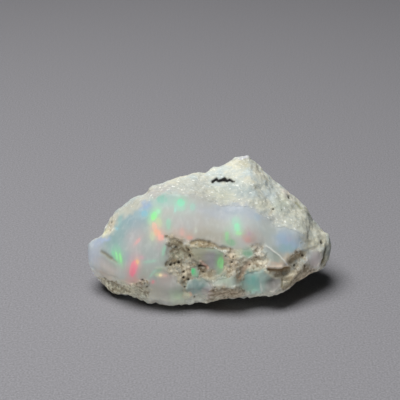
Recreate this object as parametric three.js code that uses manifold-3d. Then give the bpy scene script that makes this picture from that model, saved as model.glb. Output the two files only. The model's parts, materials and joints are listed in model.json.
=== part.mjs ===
// A piece of rough precious opal, as it was broken out of its seam. The body is milky glass with one
// smooth conchoidal face in front. Weathered matrix lies on it as a granular rind over the top, the right
// end and the back, and in rough pockets along the foot of the glassy face. All of it formed together,
// so the stone is one solid.
// Millimetres. +X runs to the right along the stone, +Y away from the glassy face, and +Z is up.

import * as THREE from "three";
import { ImprovedNoise } from "three/addons/math/ImprovedNoise.js";
import Module from "manifold-3d";

// Driving sizes of the whole stone
const LENGTH = 46;
const DEPTH = 25;
const HEIGHT = 24;
// How much of the underside is worn away to the small facet that the stone rests on
const FOOT_WEAR = 0.5;

// Rings along the stone, and how many of them round off each tip
const RINGS = 62;
const TIP_RINGS = 4;
// How far the surface swings between guide lines and along them: low is angular, as broken stone is
const AROUND_TENSION = 0.3;
const ALONG_TENSION = 0.5;

// The points of the stone furthest to the left and right, where all guide lines meet
const LEFT_TIP = [-23, -2, 8.2];
const RIGHT_TIP = [23.2, 1.4, 7.8];
// Where the round of a tip passes between it and the ends of the guide lines, along and out
const SHOULDER_ALONG = 0.25;
const SHOULDER_OUT = 0.66;
// How far from a tip the relief reaches its full height
const TIP_CALM = 3.5;

// Guide lines from the left tip to the right tip, in their order round the stone. Each follows one
// edge or swelling of the surface. Its columns are those of the surface from it to the next line.
const GUIDES = [
  {
    name: "keel", columns: 6,
    points: [
      [-20.8, -1, 1.8], [-17, -0.6, 0.2], [-12.5, -0.4, -0.6], [-7.5, -0.4, -0.9], [-2.5, -0.4, -0.9],
      [2.5, 0, -0.8], [7.5, 0.2, -0.5], [12.5, 0.4, 0.8], [17.5, 0.8, 2.6], [21, 1, 4.4],
    ],
  },
  {
    name: "lower front", columns: 10,
    points: [
      [-20.8, -3.8, 2], [-18, -5.6, 0.7], [-13, -7.8, 0.6], [-8, -9, 0.1], [-3, -9.4, 0.8],
      [2, -9, 1.5], [7, -8.5, 1.5], [12, -7.8, 1.9], [17, -5.6, 3.3], [21, -2, 4],
    ],
  },
  {
    name: "belly", columns: 10,
    points: [
      [-20.8, -5.4, 5], [-18.4, -7.4, 4.6], [-13.5, -9.8, 4.8], [-8, -11.2, 4.8], [-3, -11.6, 5],
      [2, -11.5, 5.4], [7, -11, 5.4], [12, -9.9, 5.6], [17, -7.4, 6.3], [21, -3.6, 6.2],
    ],
  },
  {
    name: "middle of the face", columns: 7,
    points: [
      [-20.8, -5, 8.8], [-19, -6.3, 9.6], [-14, -8.3, 11], [-8.5, -9.2, 11.6], [-3, -9.4, 11.6],
      [2.5, -9.3, 11.4], [7.5, -8.9, 11], [12.5, -8, 10.4], [17.5, -6, 9.6], [21, -3.2, 8.8],
    ],
  },
  {
    name: "upper face", columns: 6,
    points: [
      [-20.8, -3.9, 10.2], [-18.6, -5, 12.6], [-14, -6.2, 15.4], [-8.8, -6.7, 16.8], [-3.2, -7, 16.8],
      [2.3, -7.3, 15.8], [7.3, -7.4, 15.2], [12.3, -6.8, 13.2], [17.3, -5.2, 11.8], [21, -2, 10.6],
    ],
  },
  {
    name: "rim", columns: 5,
    points: [
      [-20.8, -2.6, 10.7], [-17.9, -3.5, 15], [-13, -3.6, 19], [-8, -3.8, 21.1], [-3, -4, 21],
      [2, -4.6, 19], [7, -4.8, 18.9], [12, -5.3, 15.4], [17, -4.4, 13.6], [21, -0.6, 10.8],
    ],
  },
  {
    name: "top", columns: 5,
    points: [
      [-20.8, -1.4, 10.6], [-17.6, -2, 16], [-12.8, -1.5, 19.4], [-7.8, -0.9, 21.3], [-2.8, 0.2, 21.3],
      [2.3, 0.8, 21], [7.4, 1.4, 21.6], [12.4, 0.9, 18.2], [17.2, 0.6, 14.8], [21, 1.2, 11],
    ],
  },
  {
    name: "crest", columns: 6,
    points: [
      [-20.8, -0.4, 10], [-17.4, -0.4, 15.8], [-12.5, 0.9, 19], [-7.6, 2.2, 21], [-2.6, 4, 21.7],
      [2.6, 5.6, 22.5], [7.1, 7.2, 23.8], [12.2, 6, 19.4], [17.2, 4.8, 15.2], [21, 2.8, 10.7],
    ],
  },
  {
    name: "upper back", columns: 6,
    points: [
      [-20.8, 1, 8.8], [-17.4, 3.2, 12.6], [-12.4, 5.8, 15], [-7.4, 7.6, 16.6], [-2.4, 9.2, 17.4],
      [2.8, 10.4, 17.6], [7.8, 11, 17.8], [12.6, 9.8, 15.2], [17.4, 7.6, 12.2], [21, 4.6, 9.8],
    ],
  },
  {
    name: "belly of the back", columns: 6,
    points: [
      [-20.8, 1.8, 5.6], [-17, 5.4, 7.2], [-12, 8.6, 8], [-7, 10.6, 8.4], [-2, 11.8, 8.8],
      [3, 12.4, 9], [8, 12.2, 9.2], [13, 10.8, 8.8], [18, 7.8, 8.2], [21, 5, 7],
    ],
  },
  {
    name: "lower back", columns: 5,
    points: [
      [-20.8, 1, 3.2], [-16.6, 4, 1.2], [-12, 6.2, 0.5], [-7, 7.6, 0.1], [-2, 8.4, 0],
      [3, 8.8, 0.1], [8, 8.4, 0.5], [13, 7, 1.7], [17.6, 4.8, 3.4], [21, 3.4, 4.8],
    ],
  },
];

// Old breaks that leave the back in flat faces: the direction each faces, and how far out it lies
const BREAKS = [
  { faces: [-0.62, 0.68, 0.39], at: 16.6 },
  { faces: [-0.25, 0.9, 0.36], at: 14 },
  { faces: [0.35, 0.93, 0.1], at: 14.2 },
  { faces: [0.6, 0.75, 0.28], at: 18.4 },
  { faces: [0.1, 0.86, -0.5], at: 7.2 },
  { faces: [-0.55, 0.5, -0.67], at: 9.4 },
];
// The smallest share of its distance from the middle of the stone that a break leaves of a point
const LEAST_LEFT = 0.75;

// Hollows and ridges of the front face: where they lie across and up the stone, their half sizes, the
// turn of their long side in degrees, and how deep they go. A ridge has a negative depth.
const FRONT_FORMS = [
  { name: "rough pocket", at: [-5.1, 9.6], half: [2.4, 4], turn: 25, depth: 1.4 },
  { name: "foot of the rough pocket", at: [-3.6, 4.6], half: [2, 3], turn: -10, depth: 0.9 },
  { name: "window under the ledge", at: [0.4, 8.6], half: [3.4, 2.6], turn: 0, depth: 1.3 },
  { name: "brown ledge over the window", at: [-0.6, 12], half: [4.4, 1.3], turn: -8, depth: -0.5 },
  { name: "ridge right of the window", at: [4.4, 7.4], half: [1.3, 3.6], turn: 12, depth: -0.6 },
  { name: "furrow right of the ridge", at: [6.8, 7], half: [1.6, 2.6], turn: -35, depth: 0.8 },
  { name: "shelf under the blue corner", at: [8.6, 8], half: [3, 1.4], turn: 10, depth: -0.6 },
  { name: "cleft under the raised flake", at: [12.4, 6.4], half: [3.2, 1.2], turn: 6, depth: 1.2 },
  { name: "lip under the cleft", at: [12.4, 4.4], half: [3.6, 1.2], turn: 12, depth: -0.7 },
  { name: "brown hollow at the right", at: [15.6, 8.2], half: [2.6, 1.4], turn: 30, depth: 0.8 },
  { name: "teal window at the foot", at: [8.8, 4.2], half: [2.4, 2], turn: 0, depth: 0.6 },
  { name: "grey window at the foot", at: [-1.4, 3.4], half: [2, 1.6], turn: 0, depth: 0.6 },
  { name: "pocket at the lower left", at: [-16.8, 3.6], half: [4.4, 1.6], turn: -12, depth: 0.8 },
  { name: "groove on the left lobe", at: [-18.6, 7.8], half: [2.2, 1], turn: -38, depth: 0.4 },
  { name: "swelling of the left lobe", at: [-14.5, 8.4], half: [5, 4], turn: 0, depth: -0.5 },
];

// The same for the back
const BACK_FORMS = [
  { name: "broad chip high on the left", at: [-9.5, 13], half: [4.6, 3], turn: -35, depth: 1.2 },
  { name: "step across the middle", at: [1.5, 11.6], half: [8, 1.5], turn: 14, depth: -0.9 },
  { name: "hollow under the step", at: [4, 7.4], half: [5, 2.4], turn: 8, depth: 1.1 },
  { name: "pit at the foot", at: [-6.5, 5.2], half: [2, 1.7], turn: 0, depth: 1 },
  { name: "chip at the right", at: [14.5, 9.4], half: [2.4, 3], turn: 20, depth: 0.9 },
  { name: "knob at the left", at: [-15, 8.2], half: [2.8, 2.2], turn: 0, depth: -0.8 },
];

// A form fades out where the square of its distance, counted in its half sizes, comes to this
const FORM_REACH = 1.6;
// Forms fade away where the surface turns from facing front or back to facing up, down or sideways
const FACING_FADE = [0, 0.3];

// Bumps of the rind and of the glass: size of a bump and its height
const RIND_BUMPS = [
  { size: 7, height: 0.6 },
  { size: 2.8, height: 0.45 },
  { size: 1.5, height: 0.25 },
];
const GLASS_BUMPS = [{ size: 9, height: 0.35 }];
// How far apart in the noise the layers of bumps are read, so that they don't line up
const NOISE_SHIFT = 31.7;
// The borders of the glass: in guide lines from the keel below and at the rim, in mm at the right
const GLASS_STARTS = [1.2, 2];
const GLASS_ENDS = [4.8, 5.1];
const GLASS_RIGHT = [14, 18];
// Below the first height the underside is worn smooth, and above the second it is as rough as the rest
const WORN_SMOOTH = [0, 2.5];

const noise = new ImprovedNoise();

function bumps(list, p) {
  return list.reduce((sum, { size, height }, i) => {
    const shift = NOISE_SHIFT * (i + 1);
    return sum + height * noise.noise(p.x / size + shift, p.y / size - shift, p.z / size + shift);
  }, 0);
}

// A point between a tip and the end of a guide line, which rounds the tip off like the end of an egg
function shoulder(tip, end) {
  const along = THREE.MathUtils.lerp(tip[0], end[0], SHOULDER_ALONG);
  const out = new THREE.Vector3(...tip).lerp(new THREE.Vector3(...end), SHOULDER_OUT);
  return [along, out.y, out.z];
}

// The guide lines as curves, and a closed ring through them at a share of the way along the stone
const lines = GUIDES.map(({ points }) => {
  const first = shoulder(LEFT_TIP, points[0]);
  const last = shoulder(RIGHT_TIP, points[points.length - 1]);
  const places = [LEFT_TIP, first, ...points, last, RIGHT_TIP].map((p) => new THREE.Vector3(...p));
  return new THREE.CatmullRomCurve3(places, false, "catmullrom", ALONG_TENSION);
});

function ringCurve(along) {
  const points = lines.map((line) => line.getPoint(along));
  return new THREE.CatmullRomCurve3(points, true, "catmullrom", AROUND_TENSION);
}

// The share of the way along the stone at which a ring lies: few in a tip, and evenly between them
function alongAt(ring) {
  const tip = 2 / (GUIDES[0].points.length + 3);
  if (ring < TIP_RINGS) return (tip * ring) / TIP_RINGS;
  if (ring > RINGS - TIP_RINGS) return 1 - (tip * (RINGS - ring)) / TIP_RINGS;
  return THREE.MathUtils.mapLinear(ring, TIP_RINGS, RINGS - TIP_RINGS, tip, 1 - tip);
}

// Where each column lies round the stone, counted in guide lines from the keel
const COLUMN_PLACES = GUIDES.flatMap(({ columns }, guide) =>
  Array.from({ length: columns }, (_, column) => guide + column / columns),
);

// Moves a point that stands out past an old break straight in towards the middle, onto the break
function breakOff(p, middle) {
  const outward = p.clone().sub(middle);
  const shares = BREAKS.map(({ faces, at }) => {
    const normal = new THREE.Vector3(...faces).normalize();
    const reach = normal.dot(outward);
    return reach > 0 ? (at - normal.dot(middle)) / reach : 1;
  });
  const share = THREE.MathUtils.clamp(Math.min(...shares), LEAST_LEFT, 1);
  return middle.clone().addScaledVector(outward, share);
}

// 1 where the surface is glass, 0 where it is rind, by place round and along the stone
function glassShare(around, p) {
  const fromBelow = THREE.MathUtils.smoothstep(around, ...GLASS_STARTS);
  const toRim = 1 - THREE.MathUtils.smoothstep(around, ...GLASS_ENDS);
  const toRight = 1 - THREE.MathUtils.smoothstep(p.x, ...GLASS_RIGHT);
  return fromBelow * toRim * toRight;
}

// How far the hollows and ridges of the face that a point lies on raise it
function formHeight(p, normal) {
  const forms = normal.y < 0 ? FRONT_FORMS : BACK_FORMS;
  const facing = THREE.MathUtils.smoothstep(Math.abs(normal.y), ...FACING_FADE);
  return forms.reduce((sum, { at, half, turn, depth }) => {
    const angle = THREE.MathUtils.degToRad(turn);
    const across = p.x - at[0];
    const up = p.z - at[1];
    const long = (across * Math.cos(angle) + up * Math.sin(angle)) / half[0];
    const wide = (up * Math.cos(angle) - across * Math.sin(angle)) / half[1];
    const share = Math.max(0, 1 - (long * long + wide * wide) / FORM_REACH);
    return sum - facing * depth * share * share * (3 - 2 * share);
  }, 0);
}

// The surface as a grid of rings, closed at each tip
function stoneSurface() {
  const columns = COLUMN_PLACES.length;
  const places = [new THREE.Vector3(...LEFT_TIP)];
  for (let ring = 1; ring < RINGS; ring++) {
    const curve = ringCurve(alongAt(ring));
    const middle = new THREE.Vector3();
    curve.points.forEach((p) => middle.addScaledVector(p, 1 / curve.points.length));
    const points = COLUMN_PLACES.map((around) => curve.getPoint(around / GUIDES.length));
    places.push(...points.map((p) => breakOff(p, middle)));
  }
  places.push(new THREE.Vector3(...RIGHT_TIP));

  const last = places.length - 1;
  const at = (ring, column) => 1 + (ring - 1) * columns + (column % columns);
  const faces = [];
  for (let column = 0; column < columns; column++) {
    faces.push(0, at(1, column), at(1, column + 1));
    faces.push(last, at(RINGS - 1, column + 1), at(RINGS - 1, column));
    for (let ring = 1; ring < RINGS - 1; ring++) {
      const [a, b] = [at(ring, column), at(ring, column + 1)];
      const [c, d] = [at(ring + 1, column + 1), at(ring + 1, column)];
      faces.push(a, c, b, a, d, c);
    }
  }
  const geometry = new THREE.BufferGeometry().setFromPoints(places);
  geometry.setIndex(faces);
  geometry.computeVertexNormals();
  return geometry;
}

// Raises the bumps, hollows and ridges along the surface's normals
function roughen(geometry) {
  const position = geometry.attributes.position;
  const normals = geometry.attributes.normal;
  const tips = [LEFT_TIP, RIGHT_TIP].map((tip) => new THREE.Vector3(...tip));
  for (let i = 0; i < position.count; i++) {
    const p = new THREE.Vector3().fromBufferAttribute(position, i);
    const normal = new THREE.Vector3().fromBufferAttribute(normals, i);
    const around = COLUMN_PLACES[(i + COLUMN_PLACES.length - 1) % COLUMN_PLACES.length];
    const glass = glassShare(around, p);
    const worn = THREE.MathUtils.smoothstep(p.z, ...WORN_SMOOTH);
    const height = worn * (glass * bumps(GLASS_BUMPS, p) + (1 - glass) * bumps(RIND_BUMPS, p));
    const nearTip = Math.min(...tips.map((tip) => tip.distanceTo(p)));
    const calm = THREE.MathUtils.smoothstep(nearTip, 0, TIP_CALM);
    p.addScaledVector(normal, calm * (height + formHeight(p, normal)));
    position.setXYZ(i, p.x, p.y, p.z);
  }
  return geometry;
}

// Brings the stone to its real size, with its lowest point a little under the surface that it rests on
function fitToSize(geometry) {
  geometry.computeBoundingBox();
  const size = geometry.boundingBox.getSize(new THREE.Vector3());
  geometry.scale(LENGTH / size.x, DEPTH / size.y, (HEIGHT + FOOT_WEAR) / size.z);
  geometry.computeBoundingBox();
  const middle = geometry.boundingBox.getCenter(new THREE.Vector3());
  geometry.translate(-middle.x, -middle.y, -geometry.boundingBox.min.z - FOOT_WEAR);
  return geometry;
}

const wasm = await Module();
wasm.setup();

function toSolid(geometry) {
  return new wasm.Manifold(
    new wasm.Mesh({
      numProp: 3,
      vertProperties: geometry.attributes.position.array,
      triVerts: Uint32Array.from(geometry.index.array),
    }),
  );
}

function toGeometry(solid) {
  const mesh = solid.getMesh();
  const geometry = new THREE.BufferGeometry();
  geometry.setAttribute("position", new THREE.BufferAttribute(mesh.vertProperties, 3));
  geometry.setIndex(new THREE.BufferAttribute(mesh.triVerts, 1));
  geometry.computeVertexNormals();
  return geometry;
}

const rough = toSolid(fitToSize(roughen(stoneSurface())));
const rested = rough.trimByPlane([0, 0, 1], 0);

const stone = new THREE.Mesh(
  toGeometry(rested),
  new THREE.MeshStandardMaterial({ color: 0xc3c7c0, roughness: 0.4, metalness: 0 }),
);
stone.name = "opal_stone";

const specimen = new THREE.Group();
specimen.add(stone);

export default specimen;
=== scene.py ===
# A piece of rough precious opal on a plain pale floor, seen from a little above. Metres, +Z up.

import json
import random

import bpy
import numpy as np
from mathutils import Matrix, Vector, noise

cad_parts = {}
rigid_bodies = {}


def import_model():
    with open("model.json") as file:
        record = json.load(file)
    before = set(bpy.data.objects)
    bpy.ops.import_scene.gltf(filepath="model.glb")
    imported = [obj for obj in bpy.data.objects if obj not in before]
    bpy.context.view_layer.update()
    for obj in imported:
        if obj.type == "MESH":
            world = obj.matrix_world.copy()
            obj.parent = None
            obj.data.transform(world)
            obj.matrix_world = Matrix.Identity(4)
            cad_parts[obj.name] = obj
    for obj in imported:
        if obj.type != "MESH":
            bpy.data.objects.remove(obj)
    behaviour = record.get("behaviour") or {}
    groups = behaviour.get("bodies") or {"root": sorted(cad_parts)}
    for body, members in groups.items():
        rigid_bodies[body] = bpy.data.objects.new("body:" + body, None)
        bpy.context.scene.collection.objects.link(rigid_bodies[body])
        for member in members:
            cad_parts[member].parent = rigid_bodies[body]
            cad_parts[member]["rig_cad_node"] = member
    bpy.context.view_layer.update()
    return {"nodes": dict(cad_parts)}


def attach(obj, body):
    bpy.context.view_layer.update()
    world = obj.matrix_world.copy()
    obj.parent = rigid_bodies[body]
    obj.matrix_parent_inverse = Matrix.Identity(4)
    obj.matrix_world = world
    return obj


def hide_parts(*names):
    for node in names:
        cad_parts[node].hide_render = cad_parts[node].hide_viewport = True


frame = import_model()


# The camera looks down on the glassy face from about 28 degrees above the floor. It has a long lens and
# stands a hand's length away, so the stone shows little perspective.
MM = 0.001
PHOTO_SIDE = 400
LENS = 100
SENSOR = 36
EYE = Vector((0, -184.95, 109.34)) * MM
AIM = Vector((-1.92, 2.71, 16.1)) * MM

bpy.ops.object.camera_add(location=EYE)
camera = bpy.context.object
camera.name = "camera"
camera.data.lens = LENS
camera.data.sensor_width = SENSOR
camera.data.clip_start = 1 * MM
camera.rotation_euler = (AIM - EYE).to_track_quat("-Z", "Y").to_euler()
bpy.context.scene.camera = camera


# The stone's blank. The real stone is one lump of opal with its matrix grown on it. Here it is the
# solid of the CAD node, made one skin of even, fine faces with its facets rubbed away.
VOXEL = 0.209 * MM
MERGE_REACH = 0.01 * MM
FACET_RUBS = 14
RUB = 0.5

bpy.ops.object.select_all(action="DESELECT")
solid = frame["nodes"]["opal_stone"]
solid.select_set(True)
bpy.context.view_layer.objects.active = solid
bpy.ops.object.duplicate()
stone = bpy.context.object
stone.name = "rough_opal"
stone.data.name = "rough_opal"
del stone["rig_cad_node"]
bpy.ops.object.mode_set(mode="EDIT")
bpy.ops.mesh.select_all(action="SELECT")
bpy.ops.mesh.remove_doubles(threshold=MERGE_REACH)
bpy.ops.object.mode_set(mode="OBJECT")


def finish_modifier(kind, **values):
    """Adds a modifier to the stone with these values, and applies it."""
    modifier = stone.modifiers.new(kind.title(), kind)
    for name, value in values.items():
        setattr(modifier, name, value)
    bpy.ops.object.modifier_apply(modifier=modifier.name)


finish_modifier("REMESH", mode="VOXEL", voxel_size=VOXEL, use_smooth_shade=True)
finish_modifier("SMOOTH", factor=RUB, iterations=FACET_RUBS)


# The glass. The real stone was broken open, and its smooth face and small windows are milky opal. They
# are outlined by points of the photograph, laid onto the part of the skin that looks at the camera.
def skin(kind):
    """The places, or the normals, of the stone's skin as rows of three numbers."""
    values = np.zeros(len(stone.data.vertices) * 3, np.float32)
    stone.data.vertices.foreach_get(kind, values)
    return values.reshape(-1, 3).astype(float)


def smoothstep(value, low, high):
    """0 below low, 1 above high and a soft slope between them."""
    share = np.clip((value - low) / (high - low), 0, 1)
    return share * share * (3 - 2 * share)


def photo_pixels(places):
    """Where places on the stone lie in the photograph, in pixels across and down."""
    turn = np.array(camera.rotation_euler.to_matrix())
    seen = (places - np.array(EYE)) @ turn
    scale = PHOTO_SIDE * LENS / SENSOR / -seen[:, 2]
    middle = PHOTO_SIDE / 2
    return np.stack([middle + seen[:, 0] * scale, middle - seen[:, 1] * scale], axis=1)


def to_line(pixels, points):
    """How far each pixel lies from a line through points, in pixels."""
    best = np.full(len(pixels), np.inf)
    for start, end in zip(points, points[1:]):
        start, end = np.array(start, float), np.array(end, float)
        step = end - start
        share = np.clip((pixels - start) @ step / (step @ step), 0, 1)
        best = np.minimum(best, np.linalg.norm(pixels - start - share[:, None] * step, axis=1))
    return best


def inside(pixels, outline):
    """How far each pixel lies inside a closed outline, in pixels. It is negative outside."""
    crossings = np.zeros(len(pixels), bool)
    closed = outline + outline[:1]
    for (x0, y0), (x1, y1) in zip(closed, closed[1:]):
        spans = (y0 > pixels[:, 1]) != (y1 > pixels[:, 1])
        if y0 != y1:
            at = x0 + (pixels[:, 1] - y0) / (y1 - y0) * (x1 - x0)
            crossings ^= spans & (pixels[:, 0] < at)
    return np.where(crossings, 1, -1) * to_line(pixels, closed)


def wander(places, size, shift):
    """Soft noise between about -1 and 1 at each place, with lumps of this size."""
    offset = Vector((shift, -shift, 2 * shift))
    return np.array([noise.noise(Vector(p) / size + offset) for p in places])


def look_at_skin():
    """The skin's places and normals, its places in the photograph and how far it faces the camera."""
    co, normal = skin("co"), skin("normal")
    return co, normal, photo_pixels(co), smoothstep(normal @ to_camera, *FACING)


FACING = (0.02, 0.16)
STONE_MIDDLE = Vector((0, 0, 11 * MM))
to_camera = np.array((EYE - STONE_MIDDLE).normalized())
places, normals, pixels, seen = look_at_skin()
GLASSY_FACE = [
    (84, 246), (98, 236.4), (109, 233.9), (113.2, 229.8), (115.2, 223.1), (117.3, 218.2), (119.4, 212),
    (124.6, 208.6), (133, 207), (137.5, 203.8), (142, 200.8), (148.7, 201), (155, 198.7), (158, 195.4),
    (164, 193.3), (170, 194.5), (187, 194.5), (197, 195.8), (208.7, 201.2), (219, 206.2), (230, 205.3),
    (244, 206.6), (255, 209), (262, 216), (271.5, 220.7), (272.4, 227.3), (286.5, 227), (298.9, 232.7),
    (301.5, 240), (298, 249), (292, 253), (287, 256), (288, 262), (287.5, 266), (280, 267), (268, 267.5),
    (266, 256), (264, 246), (257, 243), (247, 248), (238, 250), (228, 249), (218, 246), (204, 242.5),
    (196, 239.5), (189, 241), (180, 238), (173, 236), (165, 237.5), (167, 245), (168, 252), (167, 262),
    (168, 270), (177, 274.5), (181, 283), (185, 292), (184, 308), (148, 308), (149, 290), (143, 283),
    (132, 285), (121, 283), (108, 279), (98, 277), (84, 280),
]
WINDOWS = {
    "window under the ledge": [
        (192, 249), (205, 247.5), (218, 250), (224, 254), (225, 262), (223, 270), (220, 277), (215, 273),
        (211, 267), (205, 262), (198, 258), (193, 253),
    ],
    "green spark left of the crevice": [(190, 268), (195, 266), (199, 272), (198, 278), (192, 277)],
    "pale band over the foot": [
        (214, 280), (224, 278.4), (236, 279), (243, 281), (241, 285), (228, 286), (213, 285),
    ],
    "blue-grey window": [
        (190, 279.5), (200, 278), (208, 282), (212, 289), (203, 294), (192, 293), (186, 289),
    ],
    "teal fragment": [(243, 249), (252, 248), (253, 256), (247, 258), (242, 255)],
    "teal window": [
        (244, 275), (254, 271), (264, 270.5), (269, 276), (278, 277), (283, 282), (279, 289), (266, 293),
        (250, 292), (242, 288),
    ],
    "smooth facet of the right end": [
        (308, 250), (315, 249), (321, 253), (320.5, 262), (317, 268), (310, 266),
    ],
}
# Windows of glass that old breaks left in the back and the ends: the middle and the radius in mm
HIDDEN_WINDOWS = [
    ((-9, 10, 12), 6),
    ((5, 12, 7), 5.6),
    ((14, 9, 12), 4),
    ((-18, 5, 8), 4),
    ((-3, 8, 2.5), 4),
    ((20, 4, 6), 3),
]


def from_middle(window):
    """How far each place lies from the middle of a hidden window. It is 1 at the window's edge."""
    middle, radius = window
    return np.linalg.norm(places / MM - np.array(middle), axis=1) / radius


# The broken faces of opal glass are smooth, so the facets are polished off there. The polish fades over
# these distances inside an outline, in pixels, or from the middle of a hidden window.
POLISH_ROUNDS = 120
LEAST_POLISH = 0.01
FACE_POLISH = (1, 5)
WINDOW_POLISH = (-2, 2)
HIDDEN_POLISH = (0.8, 1.1)
smooth_share = smoothstep(inside(pixels, GLASSY_FACE), *FACE_POLISH)
for outline in WINDOWS.values():
    smooth_share = np.maximum(smooth_share, smoothstep(inside(pixels, outline), *WINDOW_POLISH))
smooth_share *= seen
for window in HIDDEN_WINDOWS:
    smooth_share = np.maximum(smooth_share, 1 - smoothstep(from_middle(window), *HIDDEN_POLISH))
polish = stone.vertex_groups.new(name="polish")
for index, share in enumerate(smooth_share):
    if share > LEAST_POLISH:
        polish.add([index], share, "REPLACE")
finish_modifier("SMOOTH", factor=RUB, iterations=POLISH_ROUNDS, vertex_group="polish")
stone.vertex_groups.clear()
places, normals, pixels, seen = look_at_skin()


def move_skin(places):
    """Puts the stone's skin at these places."""
    stone.data.vertices.foreach_set("co", places.ravel().astype(np.float32))
    stone.data.update()


# The slope of the stone without its small relief, which tells how much light each part gets
SOFT_ROUNDS = 300
finish_modifier("SMOOTH", factor=RUB, iterations=SOFT_ROUNDS)
broad_slope = skin("normal")[:, 2]
move_skin(places)

# The borders of glass wander a little, as grown and broken edges do. The wander is in pixels.
BORDER_LUMP = 0.9 * MM
FINE_LUMP = 0.45 * MM
BORDER_WANDER = 1.6
FINE_WANDER = 1.0
FACE_EDGE = (-0.7, 0.9)
WINDOW_EDGE = (-0.6, 0.8)
HIDDEN_EDGE = (0.9, 1.0)
BAY = 2.4 * MM
CHIP = 0.8 * MM
HIDDEN_BAYS = 0.22
HIDDEN_CHIPS = 0.12
NEAR_GLASS = (-6, 1)
border = np.stack([wander(places, BORDER_LUMP, shift) for shift in (3.1, 7.7)], axis=1)
fine = np.stack([wander(places, FINE_LUMP, shift) for shift in (1.3, 5.9)], axis=1)
rough_border = pixels + BORDER_WANDER * border + FINE_WANDER * fine

depth_in_face = inside(rough_border, GLASSY_FACE)
near_glass = smoothstep(depth_in_face, *NEAR_GLASS) * seen
window_glass = np.zeros(len(places))
for outline in WINDOWS.values():
    window_glass = np.maximum(window_glass, smoothstep(inside(rough_border, outline), *WINDOW_EDGE))
glass = np.maximum(smoothstep(depth_in_face, *FACE_EDGE), window_glass) * seen
hidden_wander = HIDDEN_BAYS * wander(places, BAY, shift=11.0)
hidden_wander += HIDDEN_CHIPS * wander(places, CHIP, shift=4.0)
for window in HIDDEN_WINDOWS:
    window_edge = smoothstep(from_middle(window) + hidden_wander, *HIDDEN_EDGE)
    glass = np.maximum(glass, (1 - window_edge) * (1 - seen))


# The rough ground between the windows. In the real stone it is tan, granular matrix full of small
# holes. Each pocket is outlined by points of the photograph, and its border crumbles into the glass.
POCKETS = {
    "rough pocket": [
        (164, 236), (172, 235), (178, 238), (183, 242), (189, 245), (192, 250), (195, 257), (201, 262),
        (208, 267), (215, 274), (212, 280), (200, 278), (192, 279), (189, 284), (188, 292), (184, 294),
        (181, 286), (177, 277), (167, 271), (166, 262), (167, 250),
    ],
    "ledge": [
        (189, 246), (192, 241), (198, 239), (205, 240), (212, 243), (222, 246.5), (228, 249), (226, 251),
        (218, 248), (208, 246), (198, 247.5), (191, 248.5),
    ],
    "granular ridge": [
        (225, 248), (233, 250), (238, 254), (240, 261), (236, 268), (231, 275), (227, 278), (222, 279),
        (226, 273), (229, 266), (229, 257),
    ],
    "furrow and shelf": [
        (236, 264), (242, 258), (250, 257), (252, 250), (251, 244), (257, 242.5), (262, 244), (266, 249),
        (267, 267), (262, 271), (252, 272), (246, 278), (241, 283), (236, 280), (236, 271),
    ],
    "foot": [(207, 290), (216, 287), (230, 288), (242, 287), (248, 294), (232, 299), (206, 302)],
    "lower left pocket": [
        (84, 279), (98, 277), (108, 279), (116, 283), (126, 286), (138, 282), (147, 281), (151, 288),
        (148, 298), (144, 304), (130, 300), (110, 296), (84, 290),
    ],
    "cleft and right foot": [
        (267, 268), (280, 268.5), (288, 266), (289, 258), (296, 251), (304, 249), (307, 256), (309, 268),
        (318, 268), (325, 262), (330, 262), (326, 270), (310, 280), (292, 289), (284, 291), (283, 280),
        (276, 277), (268, 275),
    ],
}
POCKET_CRUMBLE = 3.2
POCKET_EDGE = (-2.2, 2.2)

pocket = np.zeros(len(places))
for outline in POCKETS.values():
    crumbled = inside(pixels + POCKET_CRUMBLE * border, outline)
    pocket = np.maximum(pocket, smoothstep(crumbled, *POCKET_EDGE))
pocket *= seen * (1 - window_glass)

# Low on the back and on the underside the matrix is tan and full of holes too
TAN_LUMP = 6 * MM
TAN_TOP = 9 * MM
TAN_PATCHES = 0.9
TAN_LOW_DOWN = 0.35
TAN_EDGE = (0.1, 0.5)
hidden_tan = TAN_PATCHES * wander(places, TAN_LUMP, shift=21.0)
hidden_tan += TAN_LOW_DOWN * (1 - places[:, 2] / TAN_TOP)
pocket = np.maximum(pocket, smoothstep(hidden_tan, *TAN_EDGE) * (1 - seen) * (1 - glass))

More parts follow.
